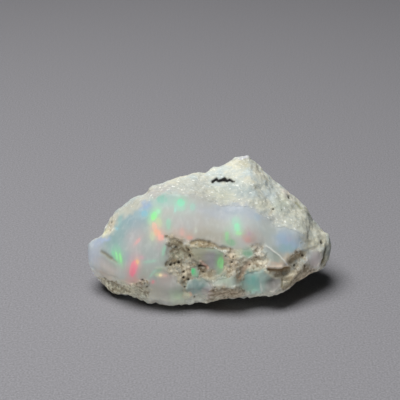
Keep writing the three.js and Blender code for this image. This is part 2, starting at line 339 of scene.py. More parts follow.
# Lines on the stone, which are grooves, creases and raised edges: the name, the width in pixels, the
# height in mm, the colour and its share, and the points of the photograph that the line goes through
STROKES = [
    ("crease over the ledge", 1.5, -0.15, (128, 113, 84), 0.6, [
        (192, 244), (196, 241), (203, 241), (209, 243), (216, 245.5), (224, 248.5),
    ]),
    ("lip of the ledge", 1.2, 0.05, (150, 138, 110), 0.4, [
        (191, 247.5), (199, 246), (206, 247), (214, 248.5),
    ]),
    # The crevice's near black is painted shade in the narrow crack.
    ("black crevice", 1, -0.4, (34, 28, 20), 1, [
        (198.5, 266.5), (201, 265.4), (204, 265.8), (206.5, 267),
    ]),
    ("cleft under the flake", 2, -0.45, (112, 92, 64), 1, [
        (269, 269.5), (275, 270.5), (282, 271), (288, 268.5),
    ]),
    ("raised edge of the flake", 0.6, 0.14, (232, 234, 226), 1, [
        (266.3, 245.8), (270.5, 248.4), (275.4, 252.4), (280.4, 256.7), (284.7, 261), (287.6, 266),
    ]),
    ("cream lip of the flake", 1.1, 0.1, (226, 208, 190), 0.8, [
        (287.6, 266.3), (280, 266.8), (268, 267.4),
    ]),
    ("groove of the left lobe", 1.7, -0.12, (140, 134, 110), 0.75, [
        (101.5, 252), (106, 255.2), (111, 258.6),
    ]),
    ("thin end of the groove", 1, -0.05, (156, 148, 130), 0.5, [
        (111, 258.6), (116.5, 262.7),
    ]),
    ("crack at the lower right", 0.8, -0.2, (110, 104, 78), 0.8, [
        (282.5, 277), (282.2, 286.5),
    ]),
    # The slit's dark brown is painted shade in it, over the brown of the matrix.
    ("slit of the right end", 1.7, -0.45, (72, 66, 44), 0.95, [
        (326.8, 249), (325.6, 256), (323.2, 264),
    ]),
    ("crease of the rind", 0.8, -0.08, (170, 172, 152), 0.5, [
        (208, 184), (213, 187.5), (216, 191),
    ]),
    ("black inclusion", 1.3, -0.05, (14, 12, 11), 1.6, [
        (212.4, 181.7), (214.2, 179.8), (216.6, 178.8), (218, 180.4), (221.4, 180.3), (224.3, 178.4),
        (227.1, 181), (229.3, 179.7), (231.8, 181),
    ]),
    ("thick middle of the inclusion", 1.5, 0, (14, 12, 11), 1.6, [
        (219.4, 180.8), (222.4, 180.6), (226.4, 180.2),
    ]),
    ("thin end of the inclusion", 0.8, 0, (40, 36, 30), 1, [
        (231, 181), (234.5, 181.6),
    ]),
    ("edge of the bottom left window", 1.1, 0.05, (190, 186, 168), 0.35, [
        (156, 268), (163, 268.5), (170, 271), (177, 275.5), (182, 284), (185, 293),
    ]),
    ("olive streak of the rind", 1.4, -0.1, (150, 150, 112), 0.7, [
        (296.5, 202.5), (299, 205), (301.5, 208.5),
    ]),
    ("cream string under the window", 1.2, 0.08, (196, 190, 166), 0.4, [
        (204, 277), (210, 279.5), (220, 275.5), (224, 271), (228, 264), (232, 259),
    ]),
    ("reddish furrow", 2.4, -0.1, (172, 136, 108), 0.45, [
        (249, 263), (244, 269), (241, 276), (238, 281),
    ]),
    ("pink grains of the crevice", 1.3, 0.1, (222, 176, 160), 0.6, [
        (200.5, 261), (204, 264), (208, 268),
    ]),
    ("brown edge of the flake's foot", 1.8, -0.2, (128, 108, 76), 0.55, [
        (291, 262), (297, 257), (302, 253),
    ]),
    ("pale edge over the right foot", 1.5, 0.08, (220, 214, 190), 0.6, [
        (266, 271), (270, 275), (276, 278), (284, 276.5), (292, 274),
    ]),
    ("arris of the left rim", 1.2, 0.08, (222, 222, 204), 0.5, [
        (98, 236.4), (109, 233.9), (114, 229),
    ]),
]
# Small swells and hollows along the outline and between the windows: the name, the middle and half
# sizes in the photograph, the turn in degrees, and the height in mm
FORMS = [
    ("shaved slope left of the peak", (235, 156), (7, 4), -25, -0.35),
    ("corner of the peak", (248.5, 156), (2.2, 2.2), 0, 0.3),
    ("notch left of the inclusion", (204, 171), (4, 3), -15, -0.3),
    ("knob over the inclusion", (213, 166), (4, 3), -15, 0.35),
    ("dip of the left crest", (143, 195), (5, 3), -30, -0.3),
    ("knob of the left crest", (152, 187), (4, 3), -30, 0.3),
    ("hollow of the left rim", (104, 228), (6, 9), 30, -0.45),
    ("hollow under the right end", (330, 258), (5, 8), 20, -0.35),
    ("knob of the left foot", (113, 292), (4, 3), 0, 0.2),
    ("notch of the left foot", (128, 297), (9, 3), 0, -0.3),
    ("first knob of the keel", (149, 302), (4, 3), 0, 0.2),
    ("notch beside the keel", (158, 302), (4, 3), 0, -0.25),
    ("right slope's knob", (259, 168), (4, 3), 40, 0.1),
    ("hollow of the window under the ledge", (211, 262), (15, 12), 15, -0.12),
    ("swell of the main face", (205, 225), (40, 16), 4, 0.2),
    ("swell of the teal window", (257, 283), (18, 8), 0, 0.05),
    ("hollow of the blue-grey window", (199, 283), (13, 6), 0, -0.12),
    ("swell of the bottom left window", (166, 287), (15, 14), 0, 0.1),
    ("hollow left of the flake", (257, 256), (9, 11), 0, -0.3),
]
# Small deep holes of the matrix: their places in the photograph, and their radius in pixels, which is
# brought to millimetres with the size of a pixel at the stone. Their depth is in mm.
HOLES = [
    ((175.5, 247), 1.3), ((188.8, 256.2), 1.8), ((178.5, 262.4), 1.5), ((174.5, 263.6), 1.1),
    ((171, 264.5), 1.1), ((184.5, 277.3), 1.2), ((185.5, 287), 1.3), ((183.5, 272), 1),
    ((188, 250.5), 1.1), ((188.3, 279), 0.9), ((289.5, 197.6), 2.5), ((273.5, 208.7), 1.1),
    ((282, 210), 0.6), ((322, 242.4), 2.2), ((311, 270), 1.4), ((302.5, 255.8), 1.3),
    ((294.6, 265.2), 1.2), ((305, 266.6), 1.3), ((110.6, 221.8), 1.7), ((204, 272), 1.1),
    ((231, 262), 1.1), ((226, 256), 0.8), ((233.5, 257), 0.9), ((229, 268), 0.8), ((257, 258), 0.8),
    ((250, 265), 0.8), ((213, 290.5), 0.8), ((233, 293), 0.9), ((124, 292), 1), ((135, 287), 1),
    ((108, 283.5), 1.1), ((215.5, 287), 0.8), ((104, 285), 1.1), ((113, 289), 1), ((147.5, 286.6), 1),
    ((142, 280), 0.9), ((99, 281), 0.9), ((194, 297), 0.9), ((107.5, 226), 0.9), ((112.6, 217.6), 0.8),
    ((109, 230.6), 0.7), ((129.6, 284.6), 0.8), ((118, 287.4), 0.9), ((144.6, 283.6), 0.8),
    ((103, 290), 0.8),
]
PIXEL = 0.19 * MM
HOLE_DEPTH = 0.42
# The holes' dark brown is painted shade in them, over the brown of the matrix.
HOLE_SHADE_COLOUR = (58, 49, 36)
HOLE_EDGE = (0.3, 1.4)
HOLE_WANDER = 0.5
HIDDEN_FROM_CAMERA = 1e6
STROKE_WANDER = 0.7

stroke_weights = []
for _, width, _, _, _, through in STROKES:
    distance = to_line(pixels + STROKE_WANDER * border, through)
    stroke_weights.append(np.exp(-((distance / width) ** 2)) * seen)
hole = np.zeros(len(places))
for at, radius in HOLES:
    away = np.linalg.norm(pixels - at, axis=1) + HIDDEN_FROM_CAMERA * (seen < 0.5)
    middle = places[np.argmin(away)]
    distance = np.linalg.norm(places - middle, axis=1) / (radius * PIXEL) + HOLE_WANDER * fine[:, 0]
    hole = np.maximum(hole, 1 - smoothstep(distance, *HOLE_EDGE))


# The relief of the skin. The real rind is lumpy and grained, the pockets are full of holes, and the
# glass is nearly flat. Heights are in mm, and a row of three is for lumps, grains and fine grains.
LUMP = 2.6 * MM
GRAIN = 0.95 * MM
FINE_GRAIN = 0.5 * MM
CELL = 1.3 * MM
PIT_CLUSTER = 2.2 * MM
SWELL = 6 * MM
RIND_HEIGHTS = (0.2, 0.12, 0.05)
POCKET_HEIGHTS = (0.2, 0.16, 0.12)
UNDERSIDE_HEIGHTS = (0, 0.16, 0.14)
RIND_CELLS = 0.1
POCKET_PITS = 0.17
GLASS_SWELL = 0.12
CALM_NEAR_GLASS = 0.8
PIT_EDGE = (0.7, 0.3)
PIT_CLUSTER_EDGE = (-0.1, 0.45)
UNDERSIDE = (0.05, 0.4)
FORM_REACH = (-0.5, -0.1)
FORM_EDGE = 0.8
RESTING = (0.05 * MM, 0.9 * MM)


def spot(pixels, at, half, turn, edge):
    """1 in an oval patch and 0 outside: its middle, half sizes and turn, and how soft its edge is."""
    angle = np.radians(turn)
    offset = pixels - np.array(at)
    long = (offset[:, 0] * np.cos(angle) + offset[:, 1] * np.sin(angle)) / half[0]
    wide = (offset[:, 1] * np.cos(angle) - offset[:, 0] * np.sin(angle)) / half[1]
    return 1 - smoothstep(np.hypot(long, wide), 1 - edge, 1 + edge)


def cells(size, shift):
    """The distances to the nearest and the second nearest of scattered points, in lumps of this size."""
    offset = Vector((shift, 2 * shift, -shift))
    found = [noise.voronoi(Vector(p) / size + offset)[0][:2] for p in places]
    return np.array(found).T


relief = np.stack([
    wander(places, LUMP, shift=13.0),
    wander(places, GRAIN, shift=17.0),
    wander(places, FINE_GRAIN, shift=19.0),
])
nearest, second = cells(CELL, shift=2.0)
pit_clusters = smoothstep(wander(places, PIT_CLUSTER, shift=37.0), *PIT_CLUSTER_EDGE)

rind_height = RIND_HEIGHTS @ relief + RIND_CELLS * (second - nearest)
pocket_height = POCKET_HEIGHTS @ relief - POCKET_PITS * pit_clusters * smoothstep(nearest, *PIT_EDGE)
rind = (1 - glass) * (1 - pocket)
height = rind * (1 - CALM_NEAR_GLASS * near_glass) * rind_height + pocket * pocket_height
height += glass * (1 - pocket) * GLASS_SWELL * wander(places, SWELL, shift=29.0)
height += smoothstep(-normals[:, 2], *UNDERSIDE) * (1 - pocket) * (UNDERSIDE_HEIGHTS @ relief)
for (_, _, rise, _, _, _), weight in zip(STROKES, stroke_weights):
    height += rise * weight
form_reach = smoothstep(normals @ to_camera, *FORM_REACH)
for _, at, half, turn, rise in FORMS:
    height += rise * spot(pixels, at, half, turn, FORM_EDGE) * form_reach
height -= HOLE_DEPTH * hole

# The foot stays on the floor, and the relief never reaches below it
resting = smoothstep(places[:, 2], *RESTING)
moved = places + normals * (height * resting)[:, None] * MM
moved[:, 2] = np.maximum(moved[:, 2], 0)
move_skin(moved)


# The colours: broad tints of the milky body, of the pockets and of the rind, and the small bright
# flashes of the play of colour. Real opal scatters them from inside; here they are laid in the skin.
def linear(colour):
    """A colour of the screen, from 0 to 255, as the light that it stands for."""
    value = np.array(colour, float) / 255
    return np.where(value <= 0.04045, value / 12.92, ((value + 0.055) / 1.055) ** 2.4)


# Each patch: its name, its middle and half sizes in the photograph, its turn in degrees, its colour, and
# the share that shows. A later patch lies over an earlier one. The colours are in the photograph's light.
# Many were corrected from the mean colours that the photograph and a render have at the patch's middle.
TINTS = [
    ("lower front", (212, 274), (90, 30), 0, (154, 153, 140), 1),
    ("left lobe", (118, 250), (32, 36), 0, (168, 173, 170), 1),
    ("middle of the face", (200, 218), (58, 28), 4, (189, 188, 179), 1),
    ("right of the face", (258, 228), (30, 22), 20, (194, 199, 196), 1),
    ("upper left corner", (132, 218), (20, 14), -25, (148, 170, 177), 1),
    ("teal of the left lobe", (117, 236), (12, 20), 12, (138, 165, 166), 0.9),
    ("lilac of the left tip", (92, 257), (9, 19), 0, (163, 170, 182), 0.85),
    ("pale rim of the left tip", (90, 272), (7, 10), -20, (182, 188, 184), 0.7),
    ("blue of the left shoulder", (100, 240.5), (9, 4.5), -25, (164, 176, 198), 0.7),
    ("blue bar of the left shoulder", (105, 239.4), (5, 1.6), 0, (158, 180, 222), 0.6),
    ("lilac spot", (128, 258), (4.5, 5), 0, (160, 162, 176), 0.7),
    ("blue corner at the rim", (145, 206), (6, 4.6), -20, (146, 172, 214), 0.9),
    ("teal corner at the rim", (142, 213), (8, 4), -15, (162, 184, 188), 0.7),
    ("mint under the rim", (165, 201), (13, 7), -8, (170, 206, 196), 0.6),
    ("grey disc", (146, 252), (15, 15), 0, (166, 174, 170), 0.8),
    ("mauve over the disc", (134, 238), (9, 12), 20, (180, 174, 174), 0.7),
    ("mauve right of the disc", (161, 246), (5, 8), 0, (184, 172, 172), 0.5),
    ("grey green under the disc", (140, 272), (14, 8), -10, (158, 162, 152), 0.8),
    ("mauve left of the pink flash", (108, 266), (12, 7), 25, (170, 158, 152), 0.75),
    ("salmon over the lower left pocket", (133, 282), (12, 4.4), -8, (176, 138, 122), 0.8),
    ("brown of the left foot", (106, 275), (12, 5), 20, (166, 156, 143), 0.75),
    ("lilac grey of the middle", (185, 218), (20, 16), 5, (190, 188, 186), 0.6),
    ("lilac under the rim", (218, 213), (22, 6), 12, (182, 188, 198), 0.7),
    ("pink over the pocket", (181, 235), (17, 6), 10, (200, 176, 162), 0.7),
    ("warm grey over the ledge", (210, 237), (20, 7), 6, (180, 172, 154), 0.75),
    # This darker lilac is painted shade, dulling the shine of the overhead light on the glass here.
    ("lilac under the rim's middle", (234, 209), (15, 4), 4, (158, 168, 182), 0.75),
    ("lilac of the right", (252, 212), (15, 6), 15, (188, 197, 208), 0.75),
    ("grey green of the right", (267, 238), (8, 14), 0, (184, 191, 185), 0.7),
    ("pink of the right", (251, 236), (10, 7), 20, (190, 168, 156), 0.7),
    ("blue corner", (289, 239), (12, 11), 15, (162, 190, 216), 1),
    ("light top of the blue corner", (293, 232), (9, 4), 20, (160, 182, 210), 0.7),
    ("cyan of the blue corner", (286, 248.5), (8, 3.6), 0, (154, 188, 194), 0.85),
    ("tan under the blue corner", (287, 258), (11, 4.4), -20, (212, 199, 176), 0.9),
    ("flake", (273, 257), (8, 9), 45, (160, 170, 160), 0.8),
    ("cream of the flake's foot", (277, 264.6), (10, 2.4), 0, (196, 176, 158), 0.8),
    ("olive of the window", (200, 253), (10, 8), 15, (160, 158, 132), 0.9),
    ("lilac of the window", (213, 259), (8, 9), 0, (154, 151, 155), 0.85),
    ("green edge of the window", (211, 249.5), (8, 2), 5, (164, 184, 152), 0.7),
    ("green right of the window", (222, 264), (5.5, 11), 0, (136, 152, 124), 0.8),
    ("green grey under the window", (222, 275), (6, 5), 0, (122, 132, 116), 0.8),
    ("pale green band", (228, 281), (14, 3.8), 0, (154, 166, 150), 0.9),
    ("grey green of the pocket", (177, 254), (8, 5.5), 10, (142, 146, 126), 0.8),
    ("brown top of the pocket", (176, 241), (9, 5), 30, (160, 150, 124), 0.9),
    ("brown middle of the pocket", (186, 250), (8, 5), 45, (154, 146, 120), 0.8),
    ("brown left of the pocket", (175, 263), (8, 4.5), 0, (144, 136, 114), 0.7),
    ("cream foot of the pocket", (187, 275), (6, 8), 0, (208, 195, 168), 0.75),
    ("cream over the blue grey window", (206, 274), (8, 5), 35, (176, 164, 138), 0.8),
    ("brown ledge", (204, 244.5), (13, 3), 10, (132, 116, 86), 0.85),
    ("pinkish ridge", (231, 260), (7, 12), 15, (196, 182, 160), 0.9),
    ("cream fragments", (241, 254), (5, 5), 0, (206, 206, 178), 0.7),
    ("shelf", (256, 262), (11, 6), -8, (218, 211, 190), 0.85),
    # The ring pit is pale, and lightened further as painted light against the shade of its hollow.
    ("ring pit", (256, 249), (7, 6), 0, (244, 238, 222), 0.95),
    ("blue grey window", (197, 286), (11, 7), 0, (104, 126, 122), 1),
    ("lilac beside the blue grey window", (209, 291), (5, 6), 0, (146, 138, 142), 0.8),
    ("teal window", (254, 281), (12, 10), 0, (120, 167, 157), 1),
    # This middle is partly pale glass and partly painted light against the shade of a dent in the window.
    ("light middle of the teal window", (264, 280), (5, 7), 0, (164, 188, 178), 0.9),
    ("lilac end of the teal window", (275, 284), (9, 7), -15, (130, 124, 120), 1),
    ("teal fragment", (248, 252), (6, 4.5), 0, (160, 194, 168), 0.9),
    ("grey of the bottom left window", (163, 286), (16, 15), 0, (152, 150, 142), 0.9),
    ("mauve of the bottom left window", (166, 280), (9, 7), 10, (164, 150, 146), 0.6),
    ("green of the bottom left window", (178, 296), (8, 7), 0, (156, 172, 146), 0.85),
    ("lower left pocket", (122, 290), (28, 9), 6, (162, 160, 142), 0.9),
    ("foot", (227, 293), (18, 5), 0, (130, 117, 100), 0.85),
    ("right foot", (300, 277), (20, 8), -28, (152, 140, 122), 0.85),
    ("green grey right foot", (286, 281), (5, 6), 0, (130, 128, 108), 0.7),
    ("facet of the right end", (315, 258), (6.5, 10), 0, (196, 188, 186), 1),
    ("cream right end", (317, 241), (10, 9), 0, (206, 202, 178), 0.8),
    ("rind of the right slope", (296, 218), (16, 22), -35, (203, 204, 187), 0.75),
    ("green grey of the right slope", (282, 205), (8, 8), 0, (182, 192, 176), 0.6),
    ("brown spot of the rind", (270.5, 212.5), (2.2, 3), 0, (176, 150, 118), 0.7),
    ("cream rim of the right", (262, 206), (13, 7), 25, (222, 222, 200), 0.7),
    ("pink of the right edge", (286, 192.5), (5, 2.6), 35, (250, 236, 224), 0.7),
    ("cream right edge", (294, 199), (8, 4), 45, (226, 222, 202), 0.7),
    ("blue grey of the rind", (243, 190), (16, 7), 5, (176, 190, 190), 0.75),
    ("cream of the rind", (222, 195), (12, 6), 15, (212, 214, 192), 0.7),
    ("cream of the rind's left", (188, 186), (18, 5), -10, (202, 205, 196), 0.8),
    ("facet of the peak", (246, 163), (6, 5), 0, (200, 197, 174), 0.9),
    ("crumbs right of the peak", (258, 169), (6, 4), 40, (236, 230, 206), 0.8),
    ("lilac edge of the peak", (245, 156.5), (7, 2), -8, (212, 212, 226), 0.8),
    ("light rim of the left", (130, 208), (22, 5), -32, (202, 198, 180), 0.8),
    ("cream left rind", (110, 226), (5, 10), 25, (222, 208, 180), 0.8),
    ("olive left rind", (103, 232), (4, 3.6), -30, (234, 228, 184), 0.75),
    ("lilac rim over the face", (158, 191), (14, 4), -22, (192, 188, 185), 0.8),
    ("peach at the foot", (190, 294.6), (2.2, 2.4), 0, (206, 164, 142), 0.8),
    ("cream at the foot", (186.4, 295.6), (3, 3.6), -30, (200, 196, 164), 0.8),
]
FLASHES = [
    ("cyan at the rim", (144.5, 213.5), (3.4, 3), 0, (132, 196, 216), 0.7),
    ("glow of the bright green", (153, 219), (5, 8), 10, (170, 214, 192), 0.6),
    ("bright green", (154, 216), (3.2, 5), 25, (146, 248, 156), 1),
    ("mint lobe", (158, 211.5), (2.4, 2.8), 35, (174, 238, 196), 0.85),
    ("yellow green", (159, 222), (3, 5), -20, (206, 222, 170), 0.6),
    ("peach", (154.4, 226.5), (3, 4.4), -14, (246, 200, 180), 0.85),
    ("orange", (157, 232.6), (3.8, 4.2), -30, (252, 186, 156), 0.9),
    ("pink under the orange", (160.8, 237.4), (3.3, 3.2), -30, (250, 184, 170), 0.9),
    ("glow left of the orange", (152.6, 236), (3, 5), 0, (206, 222, 182), 0.6),
    ("mint under the rim", (180.8, 202.6), (3.8, 4), 0, (136, 236, 184), 0.95),
    ("glow of the mint", (180, 206), (6, 6), 0, (166, 222, 200), 0.55),
    ("teal under the rim", (162, 199.5), (5.5, 4), 0, (146, 206, 186), 0.65),
    ("cyan streak", (175.4, 210), (1.1, 2.6), 5, (170, 222, 208), 0.75),
    ("pale green of the middle", (192.7, 207), (2.6, 4), 0, (164, 216, 196), 0.65),
    ("pale green left of the middle", (168.7, 224), (2.6, 5.5), 0, (156, 220, 188), 0.65),
    ("mint on the teal", (120, 221), (1.6, 6), 10, (154, 192, 188), 0.6),
    ("cyan speck on the teal", (117, 228.6), (1.4, 1.2), 0, (146, 198, 210), 0.8),
    ("glow of the striped green", (117, 252), (6, 9), -15, (144, 188, 168), 0.6),
    ("striped green", (118.6, 258.6), (4, 5.6), -26, (142, 200, 150), 0.8),
    ("striped green, middle", (116.6, 255.4), (1, 4.4), -12, (154, 228, 160), 0.9),
    ("striped green, right", (120.4, 257.6), (1.1, 5.2), -10, (152, 228, 152), 0.9),
    ("striped green, left", (113.6, 254), (1.4, 3.6), -20, (136, 204, 160), 0.7),
    ("pale pink", (137.3, 241.5), (1.7, 4.6), 38, (224, 172, 168), 0.7),
    ("strong pink", (133.6, 268.6), (4, 8.6), 13, (255, 150, 164), 1),
    ("heart of the strong pink", (133, 272), (2.4, 4.5), 13, (255, 134, 152), 0.8),
    ("orange over the pink", (137.6, 261.6), (1.7, 2.6), -15, (250, 196, 142), 0.85),
    ("pink beside the disc", (142, 257.4), (2.4, 1.8), 0, (208, 158, 172), 0.55),
    ("first mint arc", (163.6, 250.6), (1.6, 5.4), 8, (162, 218, 188), 0.7),
    ("second mint arc", (150, 261.5), (7, 1.6), -8, (156, 204, 180), 0.55),
    ("green over the window", (159, 270), (4.4, 2), -30, (128, 172, 142), 0.6),
    ("third mint arc", (153, 273), (1.2, 5.6), 38, (152, 190, 172), 0.75),
    ("blue over the window", (154.6, 278), (2.4, 2.4), 0, (128, 146, 140), 0.6),
    ("cream spark", (160.4, 275), (2.4, 1.5), 0, (238, 218, 178), 0.95),
    ("green of the spark", (157.4, 274.6), (2.2, 1.1), 0, (166, 196, 152), 0.7),
    ("pink of the spark", (165, 275.6), (2.4, 1.4), 0, (218, 170, 160), 0.5),
    ("pink spark", (153, 281.6), (2, 1.8), 0, (204, 138, 142), 0.8),
    ("salmon over the pocket", (182, 231.6), (2.6, 4.4), 0, (220, 178, 168), 0.65),
    ("salmon over the ledge", (190, 237.6), (3, 2), 10, (226, 164, 150), 0.7),
    ("white upright", (196, 230), (1, 2.8), 0, (210, 216, 200), 0.6),
    ("glow of the right green", (236, 222), (4.4, 6), 0, (176, 214, 194), 0.6),
    ("right green", (237.2, 227.6), (3.2, 4.8), -15, (160, 238, 192), 0.95),
    ("right green foot", (239, 233.2), (3.4, 2.2), 0, (174, 232, 174), 0.9),
    ("right pale green", (226.8, 236), (2.2, 5), 4, (158, 216, 160), 0.8),
    ("right teal green", (231, 242.4), (4.6, 3.4), 25, (130, 186, 144), 0.75),
    ("right pink", (247.6, 239.6), (3, 2.6), 30, (214, 156, 150), 0.55),
    ("haze of the right pink", (247, 238.6), (5.6, 4), 30, (206, 170, 160), 0.5),
    ("violet", (249, 233.6), (2.4, 2.2), 0, (190, 166, 184), 0.6),
    ("blue speck", (256.5, 217.5), (3.2, 4), 0, (172, 198, 214), 0.45),
    ("pink of the blue corner", (288.6, 239), (3.4, 3), 0, (184, 182, 198), 0.5),
    ("green of the window", (220.6, 262.6), (3.2, 6), 0, (142, 206, 140), 1),
    ("light streak of that green", (222.6, 263), (1, 4), 0, (150, 222, 150), 0.8),
    ("small green", (193.4, 271.6), (2.2, 3.6), -12, (84, 194, 128), 1),
    ("green under the small green", (198, 276), (4, 2.6), 20, (130, 172, 144), 0.65),
    ("teal green fragment", (247, 253.6), (4.6, 2), 0, (126, 172, 140), 0.6),
    ("green of the window's foot", (252, 288), (5, 3.4), 0, (136, 172, 152), 0.4),
    ("white streak", (261, 287), (0.7, 4.6), -8, (206, 214, 204), 0.8),
]
NEARLY_NONE = 1e-9


def lay_over(colour, cover, patch_colour, weight):
    """Lays one patch over the colours so far: the colour at each place, and how much of it shows."""
    total = weight + cover * (1 - weight)
    mix = (weight / np.maximum(total, NEARLY_NONE))[:, None]
    return colour * (1 - mix) + linear(patch_colour) * mix, total


def lay(patches):
    """Lays patches over each other. Each has a colour, a share and a weight at each place."""
    colour = np.zeros((len(places), 3))
    cover = np.zeros(len(places))
    for patch_colour, share, weight in patches:
        colour, cover = lay_over(colour, cover, patch_colour, np.clip(share * weight, 0, 1) * seen)
    return colour, np.clip(cover, 0, 1)


# A tint fades over a wide wandering border. A flash has a sharper core and a faint glow around it, and
# is striped along its length, as if by the grain of a fabric seen through milk. Sizes are in pixels.
TINT_EDGE = 0.75
TINT_WANDER = 3.0
CORE_EDGE = 0.28
CORE_WANDER = 0.5
CORE_SHARE = 0.85
STRIPE_WIDTH = 1.3
STRIPE_LENGTH = 7.0
STRIPE_SHIFT = 5.0
STRIPE_SHARE = 0.45
GLOW_SIZE = 1.5
GLOW_EDGE = 0.9
GLOW_SHARE = 0.35
stripes = np.array([
    noise.noise(Vector((x / STRIPE_WIDTH, y / STRIPE_LENGTH, STRIPE_SHIFT))) for x, y in pixels
])


def tint_weight(at, half, turn):
    """A broad tint, with a soft border that wanders."""
    return spot(pixels + TINT_WANDER * border, at, half, turn, TINT_EDGE)


def flash_weight(at, half, turn):
    """A flash, with its striped core and the faint glow around it."""
    core = spot(pixels + CORE_WANDER * border, at, half, turn, CORE_EDGE)
    glow = spot(pixels, at, (GLOW_SIZE * half[0], GLOW_SIZE * half[1]), turn, GLOW_EDGE)
    return np.maximum(core * (CORE_SHARE + STRIPE_SHARE * stripes), GLOW_SHARE * glow)


tint_colour, tint_cover = lay(
    (colour, share, tint_weight(at, half, turn)) for _, at, half, turn, colour, share in TINTS
)
flash_colour, flash_cover = lay(
    (colour, share, flash_weight(at, half, turn)) for _, at, half, turn, colour, share in FLASHES
)
mark_colour, mark_cover = lay(
    (colour, share, weight) for (_, _, _, colour, share, _), weight in zip(STROKES, stroke_weights)
)
# The holes are laid over the marks in their painted shade.
mark_colour, mark_cover = lay_over(mark_colour, mark_cover, HOLE_SHADE_COLOUR, hole)

# The windows that the photograph doesn't show have the same clouds and the same play of colour: thin
# slanted patches thrown over their glass, with sizes in mm
HIDDEN_CLOUDS = [(150, 184, 188), (174, 178, 200), (200, 180, 172)]
CLOUD_LUMP = 4 * MM
CLOUD_SHARE = 0.8
CLOUD_EDGE = (0, 0.4)
HIDDEN_COLOURS = [
    (132, 240, 150), (150, 236, 206), (255, 150, 140), (255, 186, 140), (150, 190, 236), (188, 232, 160),
]
HIDDEN_FLASHES = 80
THROW = 11
CLOUD_SHIFTS = (41.0, 46.0, 51.0)
SURELY_GLASS = 0.9
LEAN = 0.4
LEAN_SPREAD = 0.35
FLASH_WANDER = 0.35
FLASH_WIDTH = (0.22, 0.62)
FLASH_LENGTH = 2.8
FLASH_SHARE = (0.35, 0.95)
FLASH_EDGE = (0.3, 1.3)
unseen_glass = glass * (1 - seen)
for cloud, shift in zip(HIDDEN_CLOUDS, CLOUD_SHIFTS):
    clouded = smoothstep(wander(places, CLOUD_LUMP, shift), *CLOUD_EDGE)
    weight = CLOUD_SHARE * clouded * unseen_glass
    tint_colour, tint_cover = lay_over(tint_colour, tint_cover, cloud, weight)
thrown = random.Random(THROW)
window_places = places[unseen_glass > SURELY_GLASS] / MM
border_mm = FLASH_WANDER * np.column_stack([border, fine[:, 0]])
for _ in range(HIDDEN_FLASHES):
    at = window_places[thrown.randrange(len(window_places))]
    lean = Vector((thrown.gauss(LEAN, LEAN_SPREAD), thrown.gauss(0, LEAN_SPREAD), 1))
    lean = np.array(lean.normalized())
    reach = places / MM - at + border_mm
    long = reach @ lean
    wide = np.linalg.norm(reach - long[:, None] * lean, axis=1)
    size = thrown.uniform(*FLASH_WIDTH)
    weight = 1 - smoothstep(np.hypot(long / (FLASH_LENGTH * size), wide / size), *FLASH_EDGE)
    weight *= thrown.uniform(*FLASH_SHARE) * (1 - seen)
    colour = thrown.choice(HIDDEN_COLOURS)
    flash_colour, flash_cover = lay_over(flash_colour, flash_cover, colour, weight)

# The patches' colours hold the light and shade of the photograph. Divided by about the light that such
# a slope gets, they come nearer the colours of the stone itself. Only the broad slope's light is taken
# out, so the shade of small forms and hollows stays in them as painted shade.
LIGHT_LEVEL = 0.65
LIGHT_SLOPE = 0.76
LEAST_LIGHT = 0.34
MOST_COLOUR = 0.97
shading = np.maximum(LIGHT_LEVEL + LIGHT_SLOPE * broad_slope, LEAST_LIGHT)[:, None]


def keep_number(name, values):
    """Stores one number for each place of the skin, for the material to read."""
    attribute = stone.data.attributes.new(name, "FLOAT", "POINT")
    attribute.data.foreach_set("value", values.astype(np.float32))


def keep_colour(name, colour, cover):
    """Stores the colour for each place of the skin, divided by the broad slope's light, with how much of
    it shows as its alpha.
    """
    own = colour / shading
    # A colour too bright for the light there is partly dimmed, and what is still too bright is cut off
    own /= np.sqrt(np.maximum(own.max(axis=1, keepdims=True) / MOST_COLOUR, 1))
    own = np.minimum(own, MOST_COLOUR)
    attribute = stone.data.attributes.new(name, "FLOAT_COLOR", "POINT")
    values = np.concatenate([own, cover[:, None]], axis=1)
    attribute.data.foreach_set("color", values.ravel().astype(np.float32))


keep_number("glass", glass)
keep_number("pocket", pocket)
keep_colour("tint", tint_colour, tint_cover)
keep_colour("flash", flash_colour, flash_cover * glass)
keep_colour("mark", mark_colour, mark_cover)


# The finish. Real opal glass is milky and glossy, and its matrix is dull and granular. One shader goes
# from one to the other, in its colour, its roughness and its relief.
finish = bpy.data.materials.new("opal_and_matrix")
finish.use_nodes = True
nodes = finish.node_tree.nodes
links = finish.node_tree.links
shader = nodes["Principled BSDF"]
where = nodes.new("ShaderNodeTexCoord").outputs["Object"]


def mask(name, part="Fac"):
    """One of the values that were stored on the stone's skin."""
    node = nodes.new("ShaderNodeAttribute")
    node.attribute_name = name
    return node.outputs[part]


def speckle(size, detail=3.0, rough=0.55):
    """Noise between 0 and 1 with lumps of this size in mm."""
    node = nodes.new("ShaderNodeTexNoise")
    node.inputs["Scale"].default_value = 1 / (size * MM)
    node.inputs["Detail"].default_value = detail
    node.inputs["Roughness"].default_value = rough
    links.new(where, node.inputs["Vector"])
    return node.outputs["Fac"]


def drawn_out(size, squeeze):
    """Plain noise of this size, drawn out into streaks along the axis that is squeezed."""
    turn = nodes.new("ShaderNodeMapping")
    turn.inputs["Scale"].default_value = squeeze
    links.new(where, turn.inputs["Vector"])
    node = nodes.new("ShaderNodeTexNoise")
    node.inputs["Scale"].default_value = 1 / (size * MM)
    links.new(turn.outputs["Vector"], node.inputs["Vector"])
    return node.outputs["Fac"]


def stretch(value, low, high, to_low=0.0, to_high=1.0):
    """A value between low and high, brought to another range and held within it."""
    node = nodes.new("ShaderNodeMapRange")
    for name, setting in (("From Min", low), ("From Max", high), ("To Min", to_low), ("To Max", to_high)):
        node.inputs[name].default_value = setting
    links.new(value, node.inputs["Value"])
    return node.outputs["Result"]


